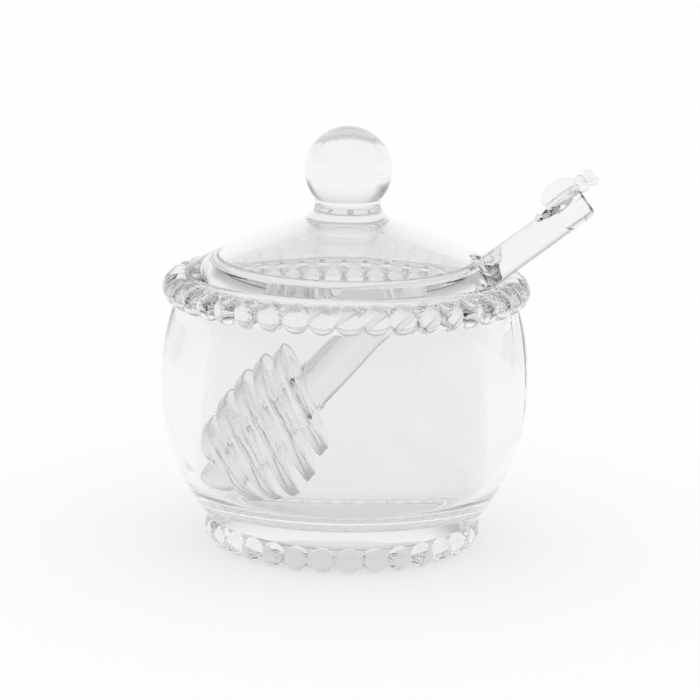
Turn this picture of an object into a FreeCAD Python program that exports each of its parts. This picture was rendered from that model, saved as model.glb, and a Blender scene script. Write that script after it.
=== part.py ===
"""Honey pot of clear pressed glass: the pot, its domed lid and a glass dipper with a bee on its handle.

Frame: millimetres, +Z up. The origin is on the axis of the pot, level with the foot's underside.
The dipper lies in the XZ plane and leaves the pot towards +X, through a notch in the lid.
"""
import FreeCAD
import Part
import math
import os
from FreeCAD import Vector

# ---- pot: barrel belly -------------------------------------------------------------------
belly_r = 55.1            # largest outer radius
belly_z = 48.0            # height of the largest radius
belly_low_arc = 65.0      # profile radius below that height
belly_high_arc = 78.0     # profile radius above it
belly_lift = 1.3          # the belly turns in this far above the foot's wall
rim_z = 80.5              # top face of the rim
neck_drop = 7.5           # the belly ends this far below it

# ---- pot: seat for the lid, and the rim round it -------------------------------------------
seat_r = 46.9             # recess that locates the lid
seat_depth = 3.0
edge_round = 0.6          # rounding of the rim's inner edges
rim_wall = 3.5            # from the recess to the wall between the beads
rim_bead_count = 43
rim_bead_r = 4.3          # the beads are centred on that wall
rim_bead_drop = 3.5       # centres of the beads below the top face
rim_bead_phase = 0.167    # angle of the first bead from -Y towards +X, radians

# ---- pot: foot ---------------------------------------------------------------------------
foot_r = 38.6             # wall of the foot between its beads
foot_neck_z = 7.9         # top of the foot's wall, under the belly
foot_edge_z = 2.0         # height of the foot's lower edge
foot_slant = 3.6          # the underside rises over this width to that edge
foot_bead_count = 32
foot_bead_r = 3.7
foot_bead_sunk = 0.4      # centres of the beads inside the foot's wall
foot_bead_lift = 0.15     # beads stay this much above the base
foot_bead_phase = 0.250
stand_w = 2.5             # flat ring the pot stands on
recess_depth = 6.0        # hollow under the base, inside that ring
recess_round = 2.5

# ---- pot: cavity -------------------------------------------------------------------------
ledge_w = 2.5             # ledge the lid's ring rests on
cavity_r = 42.5           # radius above the rounded corner
floor_z = 15.0
corner_r = 12.0

# ---- lid ---------------------------------------------------------------------------------
seat_gap = 0.2            # locating ring over the ledge of the seat
flange_gap = 0.3          # edge of the lid over the rim
ring_gap = 0.5            # locating ring inside the seat
lid_overlap = 1.2         # the lid's edge reaches this far over the rim
lid_edge_h = 1.2          # upright edge of the lid
lid_edge_round = 0.5
dome_rise = 15.6          # from the lid's edge up to the foot of the knob
dome_arc = 210.0
dome_top_r = 13.3         # where the dome meets the foot of the knob
dome_wall = 3.6           # thickness of the dome near the ring, measured upright
dome_top_wall = 5.0       # and under the foot of the knob
ring_wall = 7.2           # thickness of the locating ring
hollow_round = 2.4        # corner of the hollow under the dome
hollow_flat_r = 11.0      # flat ceiling under the knob
knob_r = 12.95
knob_rise = 14.35         # centre of the knob above the dome
neck_r = 9.75
neck_rise = 4.0           # slimmest part of the neck above the dome
neck_flare = 5.0          # concave radius between the dome and the neck
notch_depth = 7.9
notch_arc = 30.0          # the notch is a wide scallop of this radius
notch_azimuth = -4.0      # its middle, seen from the handle, degrees
handle_room = 0.8         # clearance of the lid round the handle

# ---- dipper ------------------------------------------------------------------------------
dipper_length = 138.2
handle_r = 5.25           # handle where it leaves the head
handle_end_r = 4.55       # handle at its outer end
end_round = 1.4           # rounding of the outer end
tip_r = 5.4
tip_rest_deg = 22.0       # where the tip rests on the cavity's rounded corner, below level
tip_side_deg = 12.0       # and round the pot, from -X towards -Y
swing_deg = 3.5           # the handle points this far round from +X towards +Y
rest_gap = 0.15           # dipper clear of the pot where it rests
core_r = 4.6              # core between the discs
disc_count = 5
disc_pitch = 5.9
disc_hub = 4.4            # thickness of a disc at the core
disc_rim = 3.0            # and at its rim
disc_round = 0.45
first_disc_s = 9.8        # middle of the disc nearest the tip, measured from the tip
head_r = 15.7             # largest disc
head_widest = 1.8         # where the head is widest, in discs after the first
head_taper = 0.58         # fall of the radius from there, for each disc squared
collar_proud = 0.35       # collar beyond the handle
collar_len = 1.6
pad_len = 10.0            # flat on the side of the outer end
pad_depth = 3.0
pad_end_r = 4.8           # rounded end of the flat
pad_turn_deg = 5.0        # the flat faces -Y, turned down by this much

# ---- bee on the handle: places measured back from its outer end, and above its surface -----
bee_roll_deg = 25.0       # the bee leans towards -Y round the handle
bee_h = 0.1               # height of the body's axis above the handle
tail_back = 14.4
tail_r = 1.2
tail_h = 0.8
belly_back = 8.2
belly_half = 6.2
bee_body_r = 1.9
thorax_back = 1.6
thorax_r = 2.0
head_ahead = 1.4
head_h = 1.2
bee_head_r = 1.7
eye_ahead = 1.5
eye_r = 1.85
eye_side = 1.7            # each eye beside the head
eye_h = 1.9
wing_back = 5.4
wing_half = 5.8
wing_half_h = 3.2
wing_thick = 1.4
wing_rim = 1.1
wing_round = 0.6
wing_dish = 0.4           # depth of the hollow on each face of a wing
wing_h = 0.6              # height of the wings' lower edge
wing_lean_deg = 35.0      # each wing leans out from upright
feeler_ahead = 4.7
feeler_ring_r = 1.0
feeler_wire_r = 0.6
feeler_side = 2.0
feeler_h = 1.9


def revolve(edges):
    """Solid of revolution about Z of a closed profile in the XZ plane."""
    face = Part.Face(Part.Wire(edges))
    return face.revolve(Vector(0, 0, 0), Vector(0, 0, 1), 360)


def line(a, b):
    """Straight edge between two (x, z) points."""
    return Part.makeLine(Vector(a[0], 0, a[1]), Vector(b[0], 0, b[1]))


def arc(a, b, radius):
    """Circular edge from a to b, which bulges to the right of the way, or to the left below 0.

    The profiles run with the solid on their left, so a positive radius is convex.
    """
    half = math.dist(a, b) / 2
    rise = abs(radius) - math.sqrt(radius ** 2 - half ** 2)
    share = math.copysign(rise, radius) / (2 * half)
    mid = ((a[0] + b[0]) / 2 + (b[1] - a[1]) * share, (a[1] + b[1]) / 2 - (b[0] - a[0]) * share)
    points = [Vector(p[0], 0, p[1]) for p in (a, mid, b)]
    return Part.Arc(*points).toShape()


def fillet(a, corner, b):
    """Convex edge from a to b, tangent to both sides of the corner that is as far from each."""
    length = math.dist(a, corner)
    half = math.dist(a, b) / 2
    return arc(a, b, length * half / math.sqrt(length ** 2 - half ** 2))


def chain(points):
    """Straight edges through the points in turn."""
    return [line(a, b) for a, b in zip(points, points[1:])]


def belly_x(z):
    """Outer radius of the belly at a height."""
    radius = belly_high_arc if z > belly_z else belly_low_arc
    return belly_r - radius + math.sqrt(radius ** 2 - (z - belly_z) ** 2)


def bead_ring(count, ring_r, bead_r, z, phase):
    """Balls evenly spaced on a circle; the phase is the first one's angle from -Y towards +X."""
    beads = []
    for i in range(count):
        angle = phase + 2 * math.pi * i / count
        centre = Vector(ring_r * math.sin(angle), -ring_r * math.cos(angle), z)
        beads.append(Part.makeSphere(bead_r, centre))
    return beads


def make_pot():
    ledge_z = rim_z - seat_depth
    neck_z = rim_z - neck_drop
    rim_core_r = seat_r + rim_wall
    mouth_r = seat_r - ledge_w
    belly_bottom_z = foot_neck_z + belly_lift
    low = (belly_x(belly_bottom_z), belly_bottom_z)
    widest = (belly_r, belly_z)
    high = (belly_x(neck_z), neck_z)
    corner_x = cavity_r - corner_r
    corner_top = (cavity_r, floor_z + corner_r)
    corner_end = (corner_x, floor_z)
    seat_top = (seat_r + edge_round, rim_z)
    seat_side = (seat_r, rim_z - edge_round)
    mouth_top = (mouth_r + edge_round, ledge_z)
    mouth_side = (mouth_r, ledge_z - edge_round)
    stand_r = foot_r - foot_slant
    recess_r = stand_r - stand_w
    recess_side = (recess_r, recess_depth - recess_round)
    recess_top = (recess_r - recess_round, recess_depth)
    bead_z = rim_z - rim_bead_drop
    edges = chain([(recess_r, 0), (stand_r, 0), (foot_r, foot_edge_z),
                   (foot_r, foot_neck_z), low])
    edges.append(arc(low, widest, belly_low_arc))
    edges.append(arc(widest, high, belly_high_arc))
    edges += chain([high, (rim_core_r, bead_z), (rim_core_r, rim_z - edge_round),
                    (rim_core_r - edge_round, rim_z), seat_top])
    edges.append(arc(seat_top, seat_side, edge_round))
    edges += chain([seat_side, (seat_r, ledge_z), mouth_top])
    edges.append(arc(mouth_top, mouth_side, edge_round))
    edges.append(line(mouth_side, corner_top))
    edges.append(arc(corner_top, corner_end, -corner_r))
    edges += chain([corner_end, (0, floor_z), (0, recess_depth), recess_top])
    edges.append(arc(recess_top, recess_side, -recess_round))
    edges.append(line(recess_side, (recess_r, 0)))
    beads = bead_ring(rim_bead_count, rim_core_r, rim_bead_r, bead_z, rim_bead_phase)
    foot_ring_r = foot_r - foot_bead_sunk
    foot_bead_z = foot_bead_r + foot_bead_lift
    beads += bead_ring(foot_bead_count, foot_ring_r, foot_bead_r, foot_bead_z, foot_bead_phase)
    seat = Part.makeCylinder(seat_r, seat_depth, Vector(0, 0, ledge_z))
    return revolve(edges).multiFuse(beads).cut(seat)


def dome_ends():
    """Lid's edge and the foot of the knob, the (x, z) ends of the dome's outer arc."""
    edge = (seat_r + lid_overlap, rim_z + flange_gap + lid_edge_h)
    return edge, (dome_top_r, edge[1] + dome_rise)


def dome_height(x):
    """Height of the lid's outer surface, an arc from the lid's edge to the foot of the knob."""
    edge, top = dome_ends()
    half = math.dist(edge, top) / 2
    drop = math.sqrt(dome_arc ** 2 - half ** 2) / (2 * half)
    centre_x = (edge[0] + top[0]) / 2 - (top[1] - edge[1]) * drop
    centre_z = (edge[1] + top[1]) / 2 - (edge[0] - top[0]) * drop
    return centre_z + math.sqrt(dome_arc ** 2 - (x - centre_x) ** 2)


def make_lid():
    edge, dome_top = dome_ends()
    under_z = rim_z + flange_gap
    ring_out = seat_r - ring_gap
    ring_in = ring_out - ring_wall
    ring_z = rim_z - seat_depth + seat_gap
    edge_in = edge[0] - lid_edge_round
    edge_top = (edge_in, dome_height(edge_in))
    edge_side = (edge[0], edge[1] - math.dist(edge, edge_top))
    neck = (neck_r, dome_top[1] + neck_rise)
    knob_z = dome_top[1] + knob_rise
    knob_foot = (neck_r, knob_z - math.sqrt(knob_r ** 2 - neck_r ** 2))
    knob_side = (knob_r, knob_z)
    knob_top = (0, knob_z + knob_r)
    ceiling = (hollow_flat_r, dome_height(hollow_flat_r) - dome_top_wall)
    hollow_x = ring_in - hollow_round
    hollow_top = (hollow_x, dome_height(hollow_x) - dome_wall)
    hollow_side = (ring_in, hollow_top[1] - hollow_round)
    edges = chain([(ring_in, ring_z), (ring_out, ring_z), (ring_out, under_z),
                   (edge[0], under_z), edge_side])
    edges.append(fillet(edge_side, edge, edge_top))
    edges.append(arc(edge_top, dome_top, dome_arc))
    edges.append(arc(dome_top, neck, -neck_flare))
    edges.append(line(neck, knob_foot))
    edges.append(arc(knob_foot, knob_side, knob_r))
    edges.append(arc(knob_side, knob_top, knob_r))
    edges += chain([knob_top, (0, ceiling[1]), ceiling])
    edges.append(arc(ceiling, hollow_top, -dome_arc))
    edges.append(arc(hollow_top, hollow_side, -hollow_round))
    edges.append(line(hollow_side, (ring_in, ring_z)))
    notch_x = edge[0] - notch_depth + notch_arc
    notch = Part.makeCylinder(notch_arc, knob_z, Vector(notch_x, 0, 0))
    notch.rotate(Vector(0, 0, 0), Vector(0, 0, 1), notch_azimuth)
    tip, slope = dipper_rest()
    swing = math.radians(swing_deg)
    along = Vector(math.cos(slope) * math.cos(swing), math.cos(slope) * math.sin(swing),
                   math.sin(slope))
    start = tip + along * seat_r
    passage = Part.makeCylinder(handle_r + handle_room, dipper_length, start, along)
    return revolve(edges).cut(notch).cut(passage)


def head_length():
    """Distance from the tip to the outer end of the collar, where the handle starts."""
    return first_disc_s + disc_pitch * (disc_count - 1) + disc_hub / 2 + 2 * collar_len


def handle_radius(s):
    """Radius of the tapered handle at a distance from the tip."""
    share = (s - head_length()) / (dipper_length - head_length())
    return handle_r + (handle_end_r - handle_r) * share


def dipper_rest():
    """Centre of the resting dipper's tip, and the slope of its axis in radians.

    The tip lies on the rounded corner of the cavity, and the handle lies on the inner edge of
    the rim or of the seat across from it, whichever lifts it more.
    """
    rest = math.radians(tip_rest_deg)
    side = math.radians(tip_side_deg)
    swing = math.radians(swing_deg)
    sink = corner_r - tip_r - rest_gap
    tip_out = cavity_r - corner_r + sink * math.cos(rest)
    tip = Vector(-tip_out * math.cos(side), -tip_out * math.sin(side),
                 floor_z + corner_r - sink * math.sin(rest))
    behind = tip.x * math.cos(swing) + tip.y * math.sin(swing)
    beside = tip.y * math.cos(swing) - tip.x * math.sin(swing)
    slopes = []
    for edge_r, edge_z in ((seat_r, rim_z), (seat_r - ledge_w, rim_z - seat_depth)):
        level = math.sqrt((edge_r + edge_round) ** 2 - beside ** 2) - behind
        rise = edge_z - edge_round - tip.z
        reach = math.hypot(level, rise)
        over = handle_radius(tip_r + reach) + rest_gap + edge_round
        slopes.append(math.atan2(rise, level) + math.asin(over / reach))
    return tip, max(slopes)


def turned(profile):
    """Solid turned about X from (along, radius) points, each edge straight."""
    points = [Vector(s, 0, r) for s, r in profile]
    face = Part.Face(Part.makePolygon(points + [points[0]]))
    return face.revolve(Vector(0, 0, 0), Vector(1, 0, 0), 360)


def make_disc(s, radius):
    """One disc of the dipper's head with its rim rounded."""
    disc = turned([(s - disc_hub / 2, 0), (s - disc_hub / 2, core_r), (s - disc_rim / 2, radius),
                   (s + disc_rim / 2, radius), (s + disc_hub / 2, core_r), (s + disc_hub / 2, 0)])
    rims = [e for e in disc.Edges if e.BoundBox.ZLength > 2 * radius - disc_round
            and isinstance(e.Curve, Part.Circle)]
    return disc.makeFillet(disc_round, rims)


def make_handle():
    """Handle from the collar to its rounded outer end, with a flat pad on one side."""
    start = head_length() - collar_len
    rod = turned([(start, 0), (start, handle_r), (dipper_length, handle_end_r), (dipper_length, 0)])
    end_edges = [e for e in rod.Edges if e.BoundBox.XMin > dipper_length - end_round
                 and isinstance(e.Curve, Part.Circle)]
    rod = rod.makeFillet(end_round, end_edges)
    outside = 2 * handle_end_r
    surface = handle_end_r - pad_depth
    round_s = dipper_length - pad_len + pad_end_r
    pad = Part.makeCylinder(pad_end_r, outside, Vector(round_s, 0, surface))
    corner = Vector(round_s, -pad_end_r, surface)
    pad = pad.fuse(Part.makeBox(pad_len, 2 * pad_end_r, outside, corner))
    pad.rotate(Vector(0, 0, 0), Vector(1, 0, 0), 90 + pad_turn_deg)
    return rod.cut(pad)


def ellipsoid(centre, half_length, radius):
    ball = Part.makeSphere(1)
    matrix = FreeCAD.Matrix()
    matrix.scale(half_length, radius, radius)
    ball = ball.transformGeometry(matrix)
    ball.translate(centre)
    return ball


def ellipse_plate(half, half_h, thick):
    """Flat oval in the XZ plane, centred on the origin."""
    edge = Part.Ellipse(Vector(0, 0, 0), half, half_h).toShape()
    face = Part.Face(Part.Wire(edge))
    plate = face.extrude(Vector(0, 0, thick))
    plate.translate(Vector(0, 0, -thick / 2))
    plate.rotate(Vector(0, 0, 0), Vector(1, 0, 0), 90)
    return plate


def on_handle(ahead, y, above):
    """Point past the handle's outer end and above its surface, before the bee is rolled."""
    return Vector(dipper_length + ahead, y, handle_end_r + above)


def make_wing(side):
    """Oval wing with a raised, rounded rim; side is 1 for +Y and -1 for -Y."""
    wing = ellipse_plate(wing_half, wing_half_h, wing_thick)
    wing = wing.makeFillet(wing_round, [e for e in wing.Edges if isinstance(e.Curve, Part.Ellipse)])
    for face_side in (1, -1):
        dish = ellipse_plate(wing_half - wing_rim, wing_half_h - wing_rim, wing_dish)
        dish.translate(Vector(0, face_side * (wing_thick - wing_dish) / 2, 0))
        wing = wing.cut(dish)
    wing.translate(Vector(0, 0, wing_half_h))
    wing.rotate(Vector(0, 0, 0), Vector(1, 0, 0), -side * wing_lean_deg)
    wing.translate(on_handle(-wing_back, 0, wing_h))
    return wing


def make_feeler(side):
    """One looped feeler in front of the head."""
    loop = Part.makeTorus(feeler_ring_r, feeler_wire_r, Vector(0, 0, 0), Vector(0, 1, 0))
    loop.translate(on_handle(feeler_ahead, side * feeler_side, feeler_h))
    return loop


def make_bee():
    pieces = [
        ellipsoid(on_handle(-belly_back, 0, bee_h), belly_half, bee_body_r),
        Part.makeSphere(tail_r, on_handle(-tail_back, 0, tail_h)),
        Part.makeSphere(thorax_r, on_handle(-thorax_back, 0, bee_h)),
        Part.makeSphere(bee_head_r, on_handle(head_ahead, 0, head_h)),
    ]
    for side in (1, -1):
        pieces.append(Part.makeSphere(eye_r, on_handle(eye_ahead, side * eye_side, eye_h)))
        pieces.append(make_wing(side))
        pieces.append(make_feeler(side))
    for piece in pieces:
        piece.rotate(Vector(0, 0, 0), Vector(1, 0, 0), bee_roll_deg)
    return pieces


def make_dipper():
    collar_s = head_length() - collar_len
    ball = Part.makeSphere(tip_r, Vector(tip_r, 0, 0))
    pieces = [Part.makeCylinder(core_r, collar_s - tip_r, Vector(tip_r, 0, 0), Vector(1, 0, 0))]
    for i in range(disc_count):
        radius = head_r - head_taper * (i - head_widest) ** 2
        pieces.append(make_disc(first_disc_s + i * disc_pitch, radius))
    collar_r = handle_r + collar_proud
    pieces.append(Part.makeCylinder(collar_r, collar_len, Vector(collar_s, 0, 0), Vector(1, 0, 0)))
    pieces.append(make_handle())
    dipper = ball.multiFuse(pieces).removeSplitter()
    dipper = dipper.multiFuse(make_bee())
    tip, slope = dipper_rest()
    dipper.translate(Vector(-tip_r, 0, 0))
    dipper.rotate(Vector(0, 0, 0), Vector(0, 1, 0), -math.degrees(slope))
    dipper.rotate(Vector(0, 0, 0), Vector(0, 0, 1), swing_deg)
    dipper.translate(tip)
    return dipper


os.makedirs("parts", exist_ok=True)
for name, shape in (("pot", make_pot()), ("lid", make_lid()), ("dipper", make_dipper())):
    print(name, len(shape.Solids), "solid", round(shape.Volume / 1000, 2), "cm3")
    shape.exportStep("parts/" + name + ".step")
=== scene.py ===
"""Looks of the clear glass honey pot: its glass, a pale studio round it and the camera.

The three CAD nodes, the pot, its lid and the dipper, keep their shape and get their glass here.
Lengths are metres. The camera looks along +Y, and +X is to its right.
"""

import math

import bpy
from mathutils import Matrix, Vector

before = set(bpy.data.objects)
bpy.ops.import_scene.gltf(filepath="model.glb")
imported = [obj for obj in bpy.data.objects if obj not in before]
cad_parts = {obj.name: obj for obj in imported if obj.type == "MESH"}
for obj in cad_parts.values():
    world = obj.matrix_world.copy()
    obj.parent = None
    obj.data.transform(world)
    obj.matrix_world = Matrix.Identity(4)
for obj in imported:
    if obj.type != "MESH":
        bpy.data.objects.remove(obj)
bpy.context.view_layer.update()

WHITE = (1.0, 1.0, 1.0)

# ---- camera ----
CAMERA_DISTANCE = 0.660
CAMERA_ELEVATION = math.radians(12.58)
CAMERA_ROLL = math.radians(1.02)       # the picture is turned clockwise by this much
AIM = Vector((0.0014, 0.0, 0.0576))    # point in the middle of the picture
SENSOR = 36.0
LENS = 113.14

# ---- glass ----
SHARP_EDGE = math.radians(25)          # edges that turn by more stay sharp
GLASS_IOR = 1.5
GLASS_BOUNCES = 24                     # light passes up to eight walls on its way through
RIPPLE_SIZE = {"pot": 0.03, "lid": 0.02, "dipper": 0.012}
RIPPLE_DEPTH = 0.00002
RIPPLE_DETAIL = 1.5
RIPPLE_ROUGHNESS = 0.4
# Painted shade: the glass is greyed a little, neutrally, to stand in for dimmer surroundings seen
# through it. It lets through a little more on a ripple's crest than in its hollow.
PAINTED_SHADE_LOW = (0.915, 0.914, 0.912)       # what one surface lets through in a ripple's hollow
PAINTED_SHADE_HIGH = (0.935, 0.934, 0.932)      # and on its crest

# ---- floor ----
FLOOR_HALF = 6.0
FLOOR_ROUGHNESS = 0.9
FLOOR_WHITE = 0.65                     # share of the floor's white that no shadow darkens

# ---- room ----
# Each pair is where a smooth step starts and ends, as a coordinate of the unit vector from the
# pot to that part of the room.
DIM_ROOM = (0.54, 0.54, 0.555)
HORIZON_TOP = (0.11, 0.22)             # Z, white below and all round
BACKDROP_EDGE = (0.60, 0.82)           # Y, white beyond, which is behind the pot
BACKDROP_TURN = 0.15                   # share of X added to that Y, so that it reaches right
BACKDROP_FADE = (0.15, 0.75)           # Z, where the backdrop fades upwards
BACKDROP_TOP = 0.25                    # share of white left above that
DARK_SIDES = (0.16, 0.205, 0.27)       # band on both sides of the room
SIDES_EDGE = (0.55, 0.80)              # X to either side, dark beyond
SIDES_BOTTOM = (0.20, 0.30)            # Z, dark above
SIDES_TOP = (0.45, 0.60)               # Z, dark below


# ---- node helpers ----
def node(tree, kind, **sockets):
    """Add a node and set its sockets by name, with _ for a space."""
    made = tree.nodes.new(kind)
    for name, value in sockets.items():
        made.inputs[name.replace("_", " ")].default_value = value
    return made


def combine(tree, operation, *values):
    """Math node on values that are each a socket or a number."""
    made = node(tree, "ShaderNodeMath")
    made.operation = operation
    for socket, value in zip(made.inputs, values):
        if isinstance(value, float):
            socket.default_value = value
        else:
            tree.links.new(value, socket)
    return made.outputs[0]


def ramp(tree, value, step, low=0.0, high=1.0):
    """Smooth step from low to high as the value goes from the step's start to its end."""
    made = node(tree, "ShaderNodeMapRange",
                From_Min=step[0], From_Max=step[1], To_Min=low, To_Max=high)
    made.interpolation_type = "SMOOTHSTEP"
    tree.links.new(value, made.inputs["Value"])
    return made.outputs["Result"]


def blend(tree, share, first, second):
    """Colour between the first and the second, by the share. Each is a colour or a socket."""
    made = node(tree, "ShaderNodeMix")
    made.data_type = "RGBA"
    tree.links.new(share, made.inputs["Factor"])
    for name, colour in (("A", first), ("B", second)):
        socket = next(i for i in made.inputs if i.name == name and i.type == "RGBA")
        if isinstance(colour, tuple):
            socket.default_value = (*colour, 1)
        else:
            tree.links.new(colour, socket)
    return next(o for o in made.outputs if o.type == "RGBA")


def mix_shaders(tree, share, first, second):
    """Shader between the first and the second, by the share, which is a socket or a number."""
    made = node(tree, "ShaderNodeMixShader")
    if isinstance(share, float):
        made.inputs[0].default_value = share
    else:
        tree.links.new(share, made.inputs[0])
    tree.links.new(first.outputs[0], made.inputs[1])
    tree.links.new(second.outputs[0], made.inputs[2])
    return made


def shown(tree):
    """1 for rays from the camera, and for those that a glass surface bends or mirrors.

    All of them show the same floor and room. Other rays only carry light to the floor.
    """
    path = node(tree, "ShaderNodeLightPath")
    share = path.outputs["Is Camera Ray"]
    for kind in ("Is Glossy Ray", "Is Transmission Ray"):
        share = combine(tree, "MAXIMUM", share, path.outputs[kind])
    return share


# ---- glass ----
def new_material(name):
    """Material with its node tree and its Principled shader."""
    material = bpy.data.materials.new(name)
    material.use_nodes = True
    return material, material.node_tree, material.node_tree.nodes["Principled BSDF"]


def pressed_glass(name, ripple_size):
    """Clear glass with the faint ripples that a mould leaves, and a neutral painted shade that
    greys it a little, standing in for dimmer surroundings seen through it.
    """
    material, tree, shader = new_material(name)
    shader.inputs["Transmission Weight"].default_value = 1.0
    shader.inputs["IOR"].default_value = GLASS_IOR
    shader.inputs["Roughness"].default_value = 0.0
    place = node(tree, "ShaderNodeTexCoord")
    ripple = node(tree, "ShaderNodeTexNoise",
                  Scale=1 / ripple_size, Detail=RIPPLE_DETAIL, Roughness=RIPPLE_ROUGHNESS)
    bump = node(tree, "ShaderNodeBump", Strength=1.0, Distance=RIPPLE_DEPTH)
    # Painted shade: this base colour greys the glass to stand in for dimmer surroundings seen
    # through it, and follows the ripples.
    painted_shade = node(tree, "ShaderNodeValToRGB")
    for stop, colour in zip(painted_shade.color_ramp.elements, (PAINTED_SHADE_LOW, PAINTED_SHADE_HIGH)):
        stop.color = (*colour, 1)
    tree.links.new(place.outputs["Object"], ripple.inputs["Vector"])
    tree.links.new(ripple.outputs["Fac"], bump.inputs["Height"])
    tree.links.new(bump.outputs["Normal"], shader.inputs["Normal"])
    tree.links.new(ripple.outputs["Fac"], painted_shade.inputs["Fac"])
    tree.links.new(painted_shade.outputs["Color"], shader.inputs["Base Color"])
    return material


def smooth(obj):
    """Shade the mesh smooth, except across its sharp edges. The mesh keeps its shape."""
    for polygon in obj.data.polygons:
        polygon.use_smooth = True
    obj.data.set_sharp_from_angle(angle=SHARP_EDGE)


# ---- studio ----
def make_world():
    """Room that is white along the horizon and behind the pot, and dimmer above and in front."""
    world = bpy.data.worlds.new("studio")
    bpy.context.scene.world = world
    world.use_nodes = True
    tree = world.node_tree
    tree.nodes.clear()
    place = node(tree, "ShaderNodeTexCoord")
    split = node(tree, "ShaderNodeSeparateXYZ")
    tree.links.new(place.outputs["Generated"], split.inputs[0])
    x, y, z = split.outputs

    turned = combine(tree, "ADD", y, combine(tree, "MULTIPLY", x, BACKDROP_TURN))
    behind = ramp(tree, turned, BACKDROP_EDGE)
    fade = ramp(tree, z, BACKDROP_FADE, 1.0, BACKDROP_TOP)
    horizon = ramp(tree, z, HORIZON_TOP, 1.0, 0.0)
    backdrop = combine(tree, "MAXIMUM", horizon, combine(tree, "MULTIPLY", behind, fade))

    beside = ramp(tree, combine(tree, "ABSOLUTE", x), SIDES_EDGE)
    over = ramp(tree, z, SIDES_BOTTOM)
    under = ramp(tree, z, SIDES_TOP, 1.0, 0.0)
    band = combine(tree, "MULTIPLY", beside, combine(tree, "MULTIPLY", over, under))

    room = blend(tree, backdrop, blend(tree, band, DIM_ROOM, DARK_SIDES), WHITE)
    studio = node(tree, "ShaderNodeBackground", Strength=1.0)
    tree.links.new(room, studio.inputs["Color"])
    light = node(tree, "ShaderNodeBackground", Color=(*WHITE, 1), Strength=1.0)
    out = node(tree, "ShaderNodeOutputWorld")
    tree.links.new(mix_shaders(tree, shown(tree), light, studio).outputs[0], out.inputs["Surface"])


def make_floor():
    """White floor that keeps a share of the object's shadow, seen directly and through glass."""
    mesh = bpy.data.meshes.new("floor")
    corners = [(x * FLOOR_HALF, y * FLOOR_HALF, 0) for x, y in ((-1, -1), (1, -1), (1, 1), (-1, 1))]
    mesh.from_pydata(corners, [], [(0, 1, 2, 3)])
    floor = bpy.data.objects.new("floor", mesh)
    bpy.context.scene.collection.objects.link(floor)
    material, tree, shader = new_material("floor")
    shader.inputs["Base Color"].default_value = (*WHITE, 1)
    shader.inputs["Roughness"].default_value = FLOOR_ROUGHNESS
    white = node(tree, "ShaderNodeEmission", Color=(*WHITE, 1), Strength=1.0)
    shadowed = mix_shaders(tree, FLOOR_WHITE, shader, white)
    final = mix_shaders(tree, shown(tree), shader, shadowed)
    tree.links.new(final.outputs[0], tree.nodes["Material Output"].inputs["Surface"])
    mesh.materials.append(material)


def make_camera():
    """Camera at the photograph's angle, rolled a little."""
    forward = Vector((0, math.cos(CAMERA_ELEVATION), -math.sin(CAMERA_ELEVATION)))
    level_right = Vector((1, 0, 0))
    level_up = level_right.cross(forward)
    right = level_right * math.cos(CAMERA_ROLL) + level_up * math.sin(CAMERA_ROLL)
    up = level_up * math.cos(CAMERA_ROLL) - level_right * math.sin(CAMERA_ROLL)
    camera = bpy.data.objects.new("camera", bpy.data.cameras.new("camera"))
    camera.matrix_world = Matrix((right, up, -forward)).transposed().to_4x4()
    camera.location = AIM - CAMERA_DISTANCE * forward
    camera.data.sensor_width = SENSOR
    camera.data.lens = LENS
    bpy.context.scene.collection.objects.link(camera)
    bpy.context.scene.camera = camera


# ---- scene ----
for name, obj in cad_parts.items():
    smooth(obj)
    obj.data.materials.clear()
    obj.data.materials.append(pressed_glass(name + "_glass", RIPPLE_SIZE[name]))

make_camera()
make_world()
make_floor()

scene = bpy.context.scene
scene.view_settings.view_transform = "Standard"
scene.cycles.max_bounces = GLASS_BOUNCES
scene.cycles.transmission_bounces = GLASS_BOUNCES
scene.cycles.glossy_bounces = GLASS_BOUNCES
